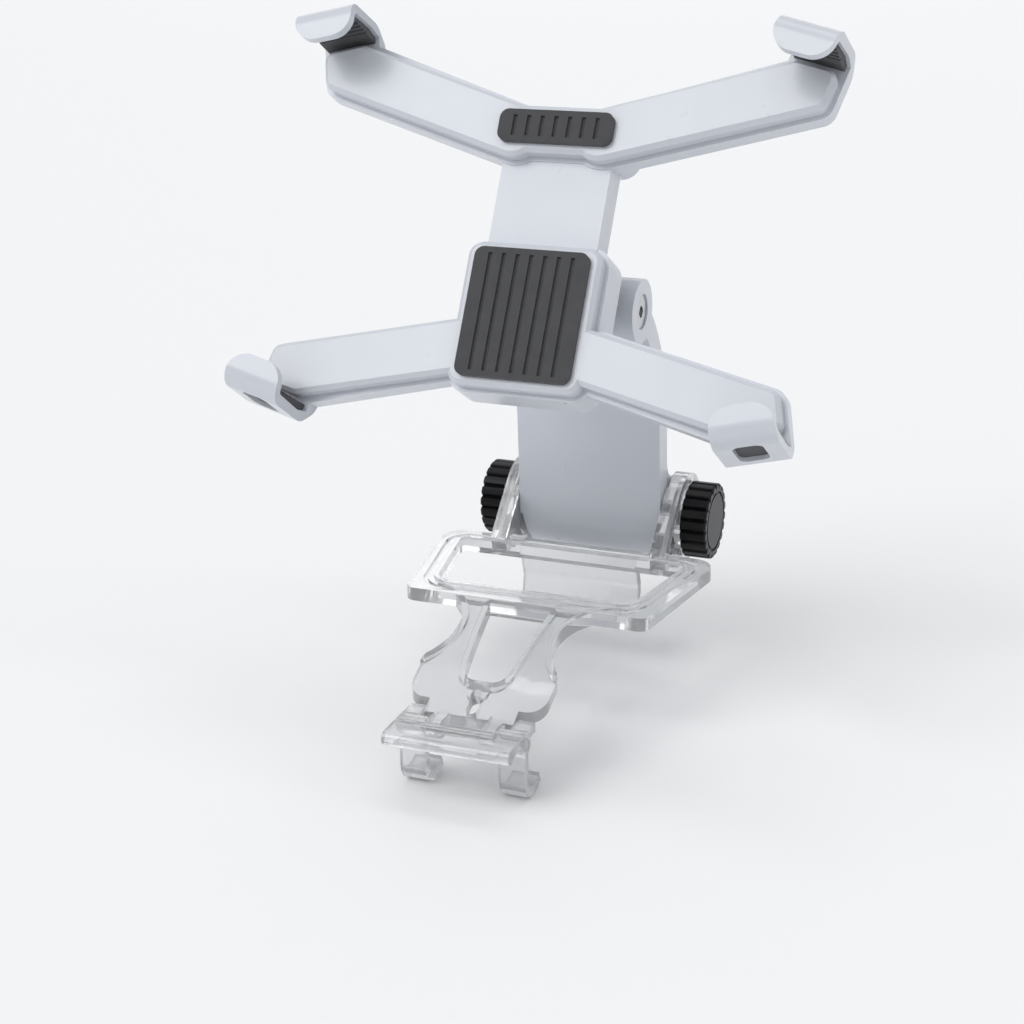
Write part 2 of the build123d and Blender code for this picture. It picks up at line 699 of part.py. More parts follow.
# Neck bolt and nut in the fork
with BuildPart() as neck_bolt:
    with BuildSketch(across(STEM_HALF - NECK_HEAD_DEPTH)):
        with Locations((NECK_Y, NECK_Z)):
            Circle(NECK_HEAD_R)
    extrude(amount=NECK_HEAD_DEPTH - SEAT)
    with BuildSketch(across(STEM_HALF - SEAT)):
        with Locations((NECK_Y, NECK_Z)):
            RegularPolygon(NECK_KEY_R, 6)
    extrude(amount=-NECK_HEAD_DEPTH / 2, mode=Mode.SUBTRACT)
    with BuildSketch(across(-STEM_HALF + SEAT)):
        with Locations((NECK_Y, NECK_Z)):
            Circle(NECK_BOLT_R)
    extrude(amount=2 * STEM_HALF - NECK_HEAD_DEPTH - SEAT)
finish(neck_bolt, "neck_bolt")

with BuildPart() as neck_nut:
    with BuildSketch(across(-STEM_HALF + SEAT)):
        with Locations((NECK_Y, NECK_Z)):
            RegularPolygon(NECK_HEAD_R, 6)
            Circle(NECK_BOLT_R, mode=Mode.SUBTRACT)
    extrude(amount=NECK_HEAD_DEPTH - SEAT)
finish(neck_nut, "neck_nut")

# Head, upright: bracket that hangs the head on the fork
with BuildPart() as neck_bracket:
    with BuildSketch(facing(BODY_BACK_Y + BRACKET_PLATE)):
        with Locations((0, BRACKET_Z)):
            RectangleRounded(BRACKET_WIDTH, BRACKET_HEIGHT, BODY_ROUND)
    extrude(amount=BRACKET_PLATE)
    with BuildSketch(across(0)):
        with BuildSketch():
            with Locations((NECK_REACH, -NECK_DROP)):
                Circle(LUG_R)
            with Locations((BODY_BACK_Y + BRACKET_PLATE / 2, -NECK_DROP)):
                Rectangle(BRACKET_PLATE, 2 * (LUG_R + LUG_FOOT))
            make_hull()
    extrude(amount=LUG_HALF, both=True)
    with BuildSketch(across(0)):
        with Locations((NECK_REACH, -NECK_DROP)):
            Circle(NECK_BOLT_R + RUN)
    extrude(amount=LUG_HALF, both=True, mode=Mode.SUBTRACT)
    with BuildSketch(facing(BODY_BACK_Y + BRACKET_PLATE)):
        with Locations(*BRACKET_SCREWS):
            Circle(SCREW_R)
    extrude(amount=BRACKET_PLATE, mode=Mode.SUBTRACT)
finish(neck_bracket, "neck_bracket", HEAD_PLACE)

with BuildPart() as neck_washers:
    with BuildSketch(across(LUG_HALF), across(-LUG_HALF - NECK_WASHER)):
        with Locations((NECK_REACH, -NECK_DROP)):
            Circle(NECK_WASHER_R)
            Circle(NECK_BOLT_R + RUN, mode=Mode.SUBTRACT)
    extrude(amount=NECK_WASHER)
finish(neck_washers, "neck_washers", HEAD_PLACE)


def screw_group(seat_y, spots, length):
    """Pan-head screws driven from the back, heads seated at depth seat_y."""
    with BuildPart() as screws:
        with BuildSketch(facing(seat_y + SCREW_HEAD)):
            with Locations(*spots):
                Circle(SCREW_HEAD_R)
        extrude(amount=SCREW_HEAD)
        with BuildSketch(facing(seat_y)):
            with Locations(*spots):
                Circle(SCREW_R)
        extrude(amount=length)
    return screws


bracket_screws = screw_group(BODY_BACK_Y + BRACKET_PLATE, BRACKET_SCREWS, BRACKET_PLATE)
finish(bracket_screws, "bracket_screws", HEAD_PLACE)


# Claws: a hook drawn side-on in (y, z), with the grip's edge at z = 0 and outwards down
with BuildPart() as hook_form:
    with BuildSketch(across(-CLAW_WIDTH / 2)):
        with BuildLine():
            FilletPolyline(
                (LIP_OUTER_Y, LIP_HEIGHT), (LIP_OUTER_Y, -CLAW_FLOOR - CLAW_WALL),
                (CLAW_HEEL_Y, -CLAW_HEEL), (ARM_BACK_Y, -CLAW_BACK),
                (ARM_BACK_Y, LIP_HEIGHT + CLAW_LAP), (SEAM_Y, LIP_HEIGHT + CLAW_LAP),
                (SEAM_Y, -CLAW_FLOOR - FLOOR_DROP), (CLAW_HEEL_Y - HEEL_TOE, -CLAW_HEEL + CLAW_WALL),
                (LIP_INNER_Y, -CLAW_FLOOR), (LIP_INNER_Y, LIP_HEIGHT),
                radius=(
                    CLAW_BEND, HEEL_ROUND, HEEL_BACK_ROUND, CLAW_EDGE, CLAW_EDGE,
                    CLAW_EDGE, CLAW_INNER_ROUND, CLAW_INNER_ROUND,
                ), close=False,
            )
            Line((LIP_OUTER_Y, LIP_HEIGHT), (LIP_INNER_Y, LIP_HEIGHT))
        make_face()
    extrude(amount=CLAW_WIDTH)
    lip_corners = hook_form.edges().filter_by(Axis.Y).filter_by(
        lambda e: e.center().Y < 0 and e.center().Z > LIP_HEIGHT / 2
    )
    fillet(lip_corners, CLAW_LIP_ROUND)
    with BuildSketch(Plane.XY.offset(-2 * CLAW_HEEL)):
        with Locations((0, (CLAW_SLOT_FRONT + CLAW_SLOT_BACK) / 2)):
            RectangleRounded(CLAW_SLOT_WIDTH, CLAW_SLOT_BACK - CLAW_SLOT_FRONT, CLAW_SLOT_ROUND)
    extrude(amount=2 * CLAW_HEEL - CLAW_FLOOR / 2, mode=Mode.SUBTRACT)


def claw_turn(side, up):
    """Turn about Y that points a claw outwards: side and up are 1 or -1."""
    return 180 + side * CLAW_SPLAY if up > 0 else -side * CLAW_SPLAY


def claw_spot(side, up, width, out):
    """A point of the head's front view, from a claw's own width and outward distance."""
    turn = radians(claw_turn(side, up))
    x = side * CLAW_X + width * cos(turn) - out * sin(turn)
    z = up * GRIP_EDGE - width * sin(turn) - out * cos(turn)
    return (x, z)


def claw_place(side, up):
    return Location((side * CLAW_X, 0, up * GRIP_EDGE), (0, claw_turn(side, up), 0))


def arm_outline(up, hub_z, inset, reach):
    """Front view of a jaw's two arms, ending at reach past the grip's edge."""
    corner = CLAW_CORNER - inset
    ends = [
        (width, out)
        for width in (-CLAW_WIDTH / 2 + CLAW_CORNER, CLAW_WIDTH / 2 - CLAW_CORNER)
        for out in (reach - corner, -LIP_HEIGHT - CLAW_CORNER)
    ]
    with BuildSketch() as arms:
        for side in (1, -1):
            with BuildSketch():
                with Locations((side * HUB_X, hub_z)):
                    Circle(HUB_R - inset)
                with Locations(*[claw_spot(side, up, width, out) for width, out in ends]):
                    Circle(corner)
                make_hull()
    return arms.sketch


def body_outline(low, high, inset):
    with BuildSketch() as body:
        with Locations((0, (low + high) / 2)):
            RectangleRounded(2 * (BODY_HALF - inset), high - low - 2 * inset, BODY_ROUND - inset)
    return body.sketch


def arm_screws(up, hub_z):
    return [
        (side * HUB_X + share * (x - side * HUB_X), hub_z + share * (z - hub_z))
        for side in (1, -1)
        for x, z in [claw_spot(side, up, 0, -LIP_HEIGHT)]
        for share in ARM_SCREW_SHARES
    ]


def rear_jaw(up, hub_z, low, high):
    """Back half of a jaw: body block, two arms and their hooked claws."""
    arms = arm_outline(up, hub_z, 0, CLAW_BACK)
    block = body_outline(low, high, 0)
    with BuildPart() as jaw:
        with BuildSketch(facing(ARM_BACK_Y)):
            add(arms)
        extrude(amount=ARM_THICK)
        with BuildSketch(facing(BODY_BACK_Y)):
            add(block)
        extrude(amount=BODY_DEPTH)
        for side in (1, -1):
            add(hook_form.part.moved(claw_place(side, up)))
        with BuildSketch(facing(ARM_BACK_Y)):
            with Locations(*arm_screws(up, hub_z)):
                Circle(SCREW_R)
        extrude(amount=ARM_THICK, mode=Mode.SUBTRACT)
    return jaw


def jaw_cover(up, hub_z, low, high):
    """Front half of a jaw, a little smaller all round so that the joint line shows."""
    arms = arm_outline(up, hub_z, COVER_INSET, -COVER_INSET)
    block = body_outline(low, high, COVER_INSET)
    with BuildPart() as cover:
        with BuildSketch(facing(SEAM_Y)):
            add(arms)
            add(block)
        extrude(amount=COVER_THICK)
        chamfer(cover.faces().sort_by(Axis.Y)[0].edges(), COVER_INSET)
        with BuildSketch(facing(SEAM_Y)):
            with Locations(*arm_screws(up, hub_z)):
                Circle(SCREW_R)
        extrude(amount=COVER_THICK / 2, mode=Mode.SUBTRACT)
    return cover


TONGUE_FRONT = SEAM_Y + SLIDE
TONGUE_BACK = BODY_BACK_Y - BODY_BACK_WALL - SLIDE
SPRING_Y = (TONGUE_FRONT + TONGUE_BACK) / 2
BODY_FLOOR = BODY_BOTTOM + BODY_WALL
SPRING_ROOF = UPPER_TOP - BODY_WALL - SPRING_ANCHOR

# Lower jaw, fixed to the bracket, open at its top for the sliding tongue
lower_form = rear_jaw(-1, HUB_LOWER_Z, BODY_BOTTOM, BODY_TOP)
with BuildPart() as lower_jaw_rear:
    add(lower_form.part)
    with BuildSketch(facing(BODY_BACK_Y - BODY_BACK_WALL)):
        with Locations((0, (BODY_FLOOR + BODY_TOP + BODY_WALL) / 2)):
            Rectangle(2 * (TONGUE_HALF + SLIDE), BODY_TOP + BODY_WALL - BODY_FLOOR)
    extrude(amount=BODY_DEPTH - BODY_BACK_WALL, mode=Mode.SUBTRACT)
    with BuildSketch(Plane.XY.offset(BODY_FLOOR)):
        with Locations((-SPRING_X, SPRING_Y), (SPRING_X, SPRING_Y)):
            Circle(POST_R)
    extrude(amount=POST_HEIGHT)
finish(lower_jaw_rear, "lower_jaw_rear", HEAD_PLACE)

lower_jaw_cover = jaw_cover(-1, HUB_LOWER_Z, BODY_BOTTOM, BODY_TOP)
finish(lower_jaw_cover, "lower_jaw_cover", HEAD_PLACE)

# Upper jaw, with the hollow tongue that slides in the lower one
upper_form = rear_jaw(1, HUB_UPPER_Z, UPPER_BOTTOM, UPPER_TOP)
with BuildPart() as upper_jaw_rear:
    add(upper_form.part)
    with BuildSketch(facing(TONGUE_BACK)):
        with Locations((0, (TONGUE_END + UPPER_BOTTOM + BODY_WALL) / 2)):
            Rectangle(2 * TONGUE_HALF, UPPER_BOTTOM + BODY_WALL - TONGUE_END)
    extrude(amount=TONGUE_BACK - TONGUE_FRONT)
    with BuildSketch(facing(TONGUE_BACK - TONGUE_WALL)):
        with Locations((0, (TONGUE_END + SPRING_ROOF) / 2)):
            Rectangle(2 * (TONGUE_HALF - TONGUE_WALL), SPRING_ROOF - TONGUE_END)
    extrude(amount=TONGUE_BACK - TONGUE_FRONT - 2 * TONGUE_WALL, mode=Mode.SUBTRACT)
    with BuildSketch(Plane.XY.offset(SPRING_ROOF)):
        with Locations((-SPRING_X, SPRING_Y), (SPRING_X, SPRING_Y)):
            Circle(POST_R)
    extrude(amount=-POST_HEIGHT)
finish(upper_jaw_rear, "upper_jaw_rear", HEAD_PLACE)

upper_jaw_cover = jaw_cover(1, HUB_UPPER_Z, UPPER_BOTTOM, UPPER_TOP)
finish(upper_jaw_cover, "upper_jaw_cover", HEAD_PLACE)

# Screws that hold the covers, driven from the back
for up, hub_z, name in ((-1, HUB_LOWER_Z, "lower_jaw_screws"), (1, HUB_UPPER_Z, "upper_jaw_screws")):
    cover_screws = screw_group(ARM_BACK_Y, arm_screws(up, hub_z), ARM_THICK + COVER_THICK / 2)
    finish(cover_screws, name, HEAD_PLACE)

# Pull springs inside the tongue
spring_low = BODY_FLOOR + POST_HEIGHT + SEAT
spring_high = SPRING_ROOF - POST_HEIGHT
for side, name in ((-1, "spring_left"), (1, "spring_right")):
    with BuildPart() as spring:
        with BuildSketch(Plane(origin=(side * SPRING_X, SPRING_Y, 0), x_dir=(1, 0, 0), z_dir=(0, -1, 0))):
            with BuildLine():
                Polyline(
                    (0, spring_low), (SPRING_NECK, spring_low), (SPRING_R, spring_low + SPRING_TAPER),
                    (SPRING_R, spring_high - SPRING_TAPER), (SPRING_NECK, spring_high), (0, spring_high),
                    close=True,
                )
            make_face()
        revolve(axis=Axis((side * SPRING_X, SPRING_Y, 0), (0, 0, 1)))
    finish(spring, name, HEAD_PLACE)

# Rubber: a ribbed liner in each claw, and a pad behind the grip on each jaw
with BuildPart() as liner_form:
    with BuildSketch(across(-CLAW_WIDTH / 2 + CLAW_PAD)):
        with BuildLine():
            sink = CLAW_WALL / 2
            liner_top = LIP_HEIGHT - LINER_SHORT
            Polyline(
                (LIP_INNER_Y - sink / 2, liner_top), (LIP_INNER_Y + CLAW_PAD, liner_top),
                (LIP_INNER_Y + CLAW_PAD, -LINER_FLUSH), (SEAM_Y, -LINER_FLUSH), (SEAM_Y, -CLAW_FLOOR - sink),
                (CLAW_HEEL_Y - HEEL_TOE, -CLAW_HEEL + CLAW_WALL - sink),
                (LIP_INNER_Y + sink, -CLAW_FLOOR - sink),
                (LIP_INNER_Y - sink / 2, -CLAW_FLOOR + sink), close=True,
            )
        make_face()
    extrude(amount=CLAW_WIDTH - 2 * CLAW_PAD)
    with BuildSketch(across(-CLAW_WIDTH / 2)):
        with Locations((0, -LINER_FLUSH)):
            with GridLocations(LINER_PITCH, 1, LINER_GROOVES, 1):
                Circle(LINER_GROOVE_R)
    extrude(amount=CLAW_WIDTH, mode=Mode.SUBTRACT)
    add(hook_form.part, mode=Mode.SUBTRACT)


for up, level in ((-1, "lower"), (1, "upper")):
    for side, hand in ((-1, "left"), (1, "right")):
        with BuildPart() as liner:
            add(liner_form.part.moved(claw_place(side, up)))
        finish(liner, f"{level}_claw_pad_{hand}", HEAD_PLACE)

back_pads = ((BODY_BOTTOM, BODY_TOP, "lower_back_pad"), (UPPER_BOTTOM, UPPER_TOP, "upper_back_pad"))
for low, high, name in back_pads:
    with BuildPart() as back_pad:
        with BuildSketch(facing(COVER_FACE_Y)):
            with Locations((0, (low + high) / 2)):
                RectangleRounded(2 * (BODY_HALF - PAD_SIDE), high - low - 2 * PAD_END, BODY_ROUND / 2)
        extrude(amount=PAD_THICK)
        with BuildSketch(facing(PAD_FACE_Y)):
            with Locations((0, (low + high) / 2)):
                with GridLocations(PAD_PITCH, 1, PAD_GROOVES, 1):
                    Rectangle(PAD_GROOVE_WIDTH, high - low - 2 * (PAD_END + PAD_GROOVE_END))
        extrude(amount=-PAD_GROOVE_DEPTH, mode=Mode.SUBTRACT)
    finish(back_pad, name, HEAD_PLACE)
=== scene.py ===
# %% [markdown]
# A phone clamp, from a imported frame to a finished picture
#
# The clamp arrives as a frame of solids at their real size. This lesson gives each piece its
# rounded moulded edges, its coils and its finish, and sets up the studio round it.

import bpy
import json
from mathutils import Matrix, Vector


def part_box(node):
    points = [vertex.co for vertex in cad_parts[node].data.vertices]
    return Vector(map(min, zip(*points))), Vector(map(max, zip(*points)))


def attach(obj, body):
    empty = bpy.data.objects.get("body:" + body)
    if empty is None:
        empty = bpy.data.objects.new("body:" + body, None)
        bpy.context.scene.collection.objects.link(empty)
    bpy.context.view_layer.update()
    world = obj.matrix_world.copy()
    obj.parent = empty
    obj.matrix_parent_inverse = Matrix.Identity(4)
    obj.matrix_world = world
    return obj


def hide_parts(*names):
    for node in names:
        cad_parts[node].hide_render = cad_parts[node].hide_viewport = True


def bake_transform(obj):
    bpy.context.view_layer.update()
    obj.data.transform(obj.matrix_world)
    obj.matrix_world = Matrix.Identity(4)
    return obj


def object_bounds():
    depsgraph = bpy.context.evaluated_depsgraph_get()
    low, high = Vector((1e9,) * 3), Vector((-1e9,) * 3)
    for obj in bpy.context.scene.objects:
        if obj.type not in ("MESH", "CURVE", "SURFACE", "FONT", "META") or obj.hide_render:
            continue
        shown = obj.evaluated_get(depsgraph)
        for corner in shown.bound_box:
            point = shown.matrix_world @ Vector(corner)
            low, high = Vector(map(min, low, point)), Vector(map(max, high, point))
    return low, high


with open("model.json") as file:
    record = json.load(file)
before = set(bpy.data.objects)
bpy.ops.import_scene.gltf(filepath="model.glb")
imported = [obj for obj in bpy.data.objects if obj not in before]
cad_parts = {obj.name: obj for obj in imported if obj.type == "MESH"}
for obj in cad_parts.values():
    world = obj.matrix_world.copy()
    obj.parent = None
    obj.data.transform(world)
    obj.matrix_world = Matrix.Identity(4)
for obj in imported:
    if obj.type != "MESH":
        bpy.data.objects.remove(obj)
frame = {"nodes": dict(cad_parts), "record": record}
cad_low, cad_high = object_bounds()
print("solids:", len(frame["nodes"]), "box:", [round(x, 4) for x in cad_high - cad_low])

# %% Tools used in every cell
import json
from math import copysign, cos, degrees, pi, radians, sin, sqrt

import bmesh
import bpy
from mathutils import Matrix, Vector

MM = 0.001
scene = bpy.context.scene
print("a millimetre is", MM, "m")

# %% [markdown]
# The camera
#
# The studio camera looks slightly down on the clamp from its front right. A camera can be placed
# by eye, or by three angles. Here the directions of its own right, up and back were measured, so
# they are written as the columns of its rotation, and the lens is the one that goes with them.

# %% Camera
CAMERA_PLACE = Vector((141.561, -363.580, 165.616)) * MM
CAMERA_RIGHT = Vector((0.93102, 0.36469, -0.01433))
CAMERA_UP = Vector((-0.11285, 0.32499, 0.93896))
CAMERA_BACK = Vector((0.34708, -0.87257, 0.34373))
LENS_MM = 69.29
SENSOR_MM = 36.0

camera_data = bpy.data.cameras.new("studio_camera")
camera_data.lens = LENS_MM
camera_data.sensor_width = SENSOR_MM
camera = bpy.data.objects.new("studio_camera", camera_data)
turn = Matrix((CAMERA_RIGHT, CAMERA_UP, CAMERA_BACK)).transposed()
camera.matrix_world = Matrix.Translation(CAMERA_PLACE) @ turn.to_4x4()
scene.collection.objects.link(camera)
scene.camera = camera
print("camera", round(CAMERA_PLACE.length / MM), "mm from the origin")

# %% [markdown]
# Floor and light
#
# A white product on a pale floor needs even light from above, with one side stronger so that the
# forms read. Clear plastic shows only what it bends and mirrors, so the surroundings are not one
# white: they fall from bright overhead to grey at the horizon, which draws its edges. One could
# use an image of a studio for this. A ramp over the height is plainer, and needs no file.

# %% Floor
FLOOR_HALF = 40.0       # metres, so that its edges lie far away
FLOOR_COLOUR = (0.93, 0.93, 0.935, 1.0)
FLOOR_ROUGHNESS = 0.8
FLOOR_SPECULAR = 0.2

floor_mesh = bpy.data.meshes.new("floor")
corner_signs = ((-1, -1), (1, -1), (1, 1), (-1, 1))
corners = [(x * FLOOR_HALF, y * FLOOR_HALF, cad_low.z) for x, y in corner_signs]
floor_mesh.from_pydata(corners, [], [(0, 1, 2, 3)])
floor = bpy.data.objects.new("floor", floor_mesh)
scene.collection.objects.link(floor)

floor_finish = bpy.data.materials.new("pale_floor")
floor_finish.use_nodes = True
floor_shader = floor_finish.node_tree.nodes["Principled BSDF"]
floor_shader.inputs["Base Color"].default_value = FLOOR_COLOUR
floor_shader.inputs["Roughness"].default_value = FLOOR_ROUGHNESS
floor_shader.inputs["Specular IOR Level"].default_value = FLOOR_SPECULAR
floor_mesh.materials.append(floor_finish)
print("floor at", round(cad_low.z / MM, 2), "mm")

# %% World that darkens towards the horizon
SKY_COLOUR = (0.96, 0.98, 1.0, 1.0)
SKY_LOW = 0.27
SKY_HIGH = 0.68
SKY_TOP = 0.75          # height of the unit direction where the ramp ends

world = bpy.data.worlds.new("studio")
world.use_nodes = True
sky = world.node_tree
background = sky.nodes["Background"]
background.inputs["Color"].default_value = SKY_COLOUR
direction = sky.nodes.new("ShaderNodeTexCoord")
parts = sky.nodes.new("ShaderNodeSeparateXYZ")
ramp = sky.nodes.new("ShaderNodeMapRange")
ramp.inputs["From Max"].default_value = SKY_TOP
ramp.inputs["To Min"].default_value = SKY_LOW
ramp.inputs["To Max"].default_value = SKY_HIGH
sky.links.new(direction.outputs["Generated"], parts.inputs["Vector"])
sky.links.new(parts.outputs["Z"], ramp.inputs["Value"])
sky.links.new(ramp.outputs["Result"], background.inputs["Strength"])
scene.world = world
scene.view_settings.view_transform = "Standard"
print("world strength from", SKY_LOW, "to", SKY_HIGH)

# %% [markdown]
# A sun lamp lights the whole floor alike, so no edge of light shows on it, and a wide sun angle
# softens its shadows. Long soft boxes add the bright bands that polished plastic mirrors. Near
# boxes would leave their own pools of light on the floor, so these are large and far away, and
# each is given by the direction it shines from.

# %% Sun and soft boxes
TARGET = Vector((0.0, 0.01, 0.05))      # metres, near the middle of the clamp
LIGHT_DISTANCE = 3.0
SUN_STRENGTH = 1.0
SUN_WIDTH = radians(35)
SUN_FROM = (-0.55, -0.75, 1.0)


def aimed(name, data, direction):
    """Put a light in a direction from the clamp, facing it."""
    light = bpy.data.objects.new(name, data)
    light.location = TARGET + Vector(direction).normalized() * LIGHT_DISTANCE
    light.rotation_euler = Vector(direction).to_track_quat("Z", "Y").to_euler()
    scene.collection.objects.link(light)


sun = bpy.data.lights.new("key_sun", "SUN")
sun.energy = SUN_STRENGTH
sun.angle = SUN_WIDTH
aimed("key_sun", sun, SUN_FROM)

# Name, direction from the clamp, width and height in metres, watts
SOFT_BOXES = [
    ("left_box", (-0.8, -0.45, 0.35), 0.5, 2.6, 7.0),
    ("right_box", (0.9, 0.0, 0.35), 0.45, 2.4, 7.0),
    ("top_box", (0.05, 0.2, 0.98), 2.6, 0.6, 9.0),
    ("back_box", (-0.25, 0.9, 0.35), 2.6, 0.5, 6.0),
]
for name, direction, width, height, watts in SOFT_BOXES:
    box = bpy.data.lights.new(name, "AREA")
    box.shape = "RECTANGLE"
    box.size = width
    box.size_y = height
    box.energy = watts
    aimed(name, box, direction)
print("lights:", 1 + len(SOFT_BOXES))

# %% [markdown]
# Finishes
#
# Each finish is a Principled shader with its own grain. A grain can be painted, or made by noise
# in the piece's own coordinates, which needs no unwrapping and has a real size in millimetres.
# The helpers below start a finish and add noise to its colour, its bump and its roughness.

# %% Helpers for finishes
def new_finish(name, colour, roughness):
    """A new material, its node tree and its Principled shader."""
    finish = bpy.data.materials.new(name)
    finish.use_nodes = True
    tree = finish.node_tree
    shader = tree.nodes["Principled BSDF"]
    shader.inputs["Base Color"].default_value = (*colour, 1.0)
    shader.inputs["Roughness"].default_value = roughness
    return finish, tree, shader


def noise(tree, size_mm, detail=2.0, stretch=(1.0, 1.0, 1.0)):
    """Noise whose patches are about size_mm across."""
    place = tree.nodes.new("ShaderNodeTexCoord")
    scaling = tree.nodes.new("ShaderNodeMapping")
    scaling.inputs["Scale"].default_value = [s / (size_mm * MM) for s in stretch]
    texture = tree.nodes.new("ShaderNodeTexNoise")
    texture.inputs["Scale"].default_value = 1.0
    texture.inputs["Detail"].default_value = detail
    tree.links.new(place.outputs["Object"], scaling.inputs["Vector"])
    tree.links.new(scaling.outputs["Vector"], texture.inputs["Vector"])
    return texture.outputs["Fac"]


def grain(tree, shader, height, depth_mm, strength=0.5):
    """Turn a height into a bump of depth_mm on the shader."""
    bump = tree.nodes.new("ShaderNodeBump")
    bump.inputs["Strength"].default_value = strength
    bump.inputs["Distance"].default_value = depth_mm * MM
    tree.links.new(height, bump.inputs["Height"])
    tree.links.new(bump.outputs["Normal"], shader.inputs["Normal"])


def between(tree, factor, low, high):
    """Map a factor from 0 to 1 onto a range."""
    ranged = tree.nodes.new("ShaderNodeMapRange")
    ranged.inputs["To Min"].default_value = low
    ranged.inputs["To Max"].default_value = high
    tree.links.new(factor, ranged.inputs["Value"])
    return ranged.outputs["Result"]


def tint(tree, shader, factor, colour_a, colour_b):
    """Colour the shader between two colours."""
    mix = tree.nodes.new("ShaderNodeMix")
    mix.data_type = "RGBA"
    mix.inputs["A"].default_value = (*colour_a, 1.0)
    mix.inputs["B"].default_value = (*colour_b, 1.0)
    tree.links.new(factor, mix.inputs["Factor"])
    tree.links.new(mix.outputs["Result"], shader.inputs["Base Color"])


print("materials before the finishes:", len(bpy.data.materials))

# %% [markdown]
# White plastic
#
# The stem and jaws are moulded in a cool white, smooth enough for a broad soft highlight. The
# mould leaves a very fine satin grain and slow flow marks, so one noise is small and one large.

# %% White plastic
WHITE_A = (0.60, 0.625, 0.68)
WHITE_B = (0.64, 0.66, 0.71)

white_plastic, tree, shader = new_finish("white_plastic", WHITE_A, roughness=0.3)
tint(tree, shader, noise(tree, size_mm=18.0), WHITE_A, WHITE_B)
grain(tree, shader, noise(tree, size_mm=0.16, detail=3.0), depth_mm=0.006)
satin = between(tree, noise(tree, size_mm=6.0), low=0.24, high=0.36)
tree.links.new(satin, shader.inputs["Roughness"])
shader.inputs["Coat Weight"].default_value = 0.25
shader.inputs["Coat Roughness"].default_value = 0.12
shader.inputs["Subsurface Weight"].default_value = 0.08
shader.inputs["Subsurface Radius"].default_value = (1.2 * MM, 1.2 * MM, 1.4 * MM)
print(white_plastic.name, "made")

# %% [markdown]
# Clear plastic
#
# The base and latch are clear polycarbonate. Pure glass would vanish on white, and the real
# piece has a faint grey body and slow waves left by the mould, which bend the light. So the
# shader lets most light through, keeps a little of its own colour, and gets broad soft waves.

# %% Clear plastic
CLEAR_COLOUR = (0.89, 0.895, 0.905)

clear_plastic, tree, shader = new_finish("clear_plastic", CLEAR_COLOUR, roughness=0.05)
shader.inputs["Transmission Weight"].default_value = 0.80
shader.inputs["IOR"].default_value = 1.52
shader.inputs["Coat Weight"].default_value = 0.3
shader.inputs["Coat Roughness"].default_value = 0.03
grain(tree, shader, noise(tree, size_mm=5.0, detail=1.0), depth_mm=0.25, strength=0.35)
polish = between(tree, noise(tree, size_mm=2.5), low=0.03, high=0.12)
tree.links.new(polish, shader.inputs["Roughness"])
print(clear_plastic.name, "made")

# %% [markdown]
# Black plastic, rubber, metals and nylon
#
# The knobs have a sand-blasted mould grain, the rubber a finer and duller one. Turned and
# plated metal shows scratches that follow the tool, which stretched noise gives.

# %% Black plastic
BLACK_A = (0.006, 0.006, 0.007)
BLACK_B = (0.010, 0.010, 0.011)
# The knob face's two colours are lighter than the black plastic: they are a painted sheen
SHEEN_FACE_A = (0.050, 0.050, 0.052)
SHEEN_FACE_B = (0.060, 0.060, 0.062)

black_plastic, tree, shader = new_finish("black_plastic", BLACK_A, roughness=0.36)
grain(tree, shader, noise(tree, size_mm=0.22, detail=3.0), depth_mm=0.03)
tint(tree, shader, noise(tree, size_mm=4.0), BLACK_A, BLACK_B)
blasted = between(tree, noise(tree, size_mm=1.5), low=0.30, high=0.42)
tree.links.new(blasted, shader.inputs["Roughness"])
shader.inputs["Specular IOR Level"].default_value = 0.2

# The knob face finish: its lighter colour is a painted sheen
knob_face_painted_sheen, tree, shader = new_finish("painted_sheen_knob_face", SHEEN_FACE_A, roughness=0.5)
grain(tree, shader, noise(tree, size_mm=0.3, detail=3.0), depth_mm=0.03)
tint(tree, shader, noise(tree, size_mm=5.0), SHEEN_FACE_A, SHEEN_FACE_B)
print(black_plastic.name, knob_face_painted_sheen.name, "made")

# %% Rubber and nylon
RUBBER_A = (0.038, 0.038, 0.042)
RUBBER_B = (0.058, 0.058, 0.063)
NYLON_A = (0.58, 0.57, 0.53)
NYLON_B = (0.66, 0.65, 0.61)

grey_rubber, tree, shader = new_finish("grey_rubber", RUBBER_A, roughness=0.7)
grain(tree, shader, noise(tree, size_mm=0.12, detail=4.0), depth_mm=0.02, strength=0.7)
tint(tree, shader, noise(tree, size_mm=3.0), RUBBER_A, RUBBER_B)
shader.inputs["Sheen Weight"].default_value = 0.15

nylon, tree, shader = new_finish("nylon", NYLON_A, roughness=0.5)
grain(tree, shader, noise(tree, size_mm=0.3), depth_mm=0.02)
tint(tree, shader, noise(tree, size_mm=2.0), NYLON_A, NYLON_B)
print(grey_rubber.name, nylon.name, "made")

# %% Steel and brass
STEEL_A = (0.50, 0.51, 0.53)
STEEL_B = (0.60, 0.61, 0.62)
BRASS_A = (0.62, 0.43, 0.18)
BRASS_B = (0.74, 0.55, 0.26)

steel, tree, shader = new_finish("plated_steel", STEEL_A, roughness=0.28)
shader.inputs["Metallic"].default_value = 1.0
grain(tree, shader, noise(tree, size_mm=0.4, stretch=(1.0, 8.0, 8.0)), depth_mm=0.01)
brushed = between(tree, noise(tree, size_mm=0.8, stretch=(1.0, 5.0, 5.0)), low=0.2, high=0.38)
tree.links.new(brushed, shader.inputs["Roughness"])
tint(tree, shader, noise(tree, size_mm=1.5), STEEL_A, STEEL_B)

brass, tree, shader = new_finish("turned_brass", BRASS_A, roughness=0.3)
shader.inputs["Metallic"].default_value = 1.0
grain(tree, shader, noise(tree, size_mm=0.3, stretch=(8.0, 1.0, 1.0)), depth_mm=0.01)
tint(tree, shader, noise(tree, size_mm=2.0), BRASS_A, BRASS_B)
print(steel.name, brass.name, "made")

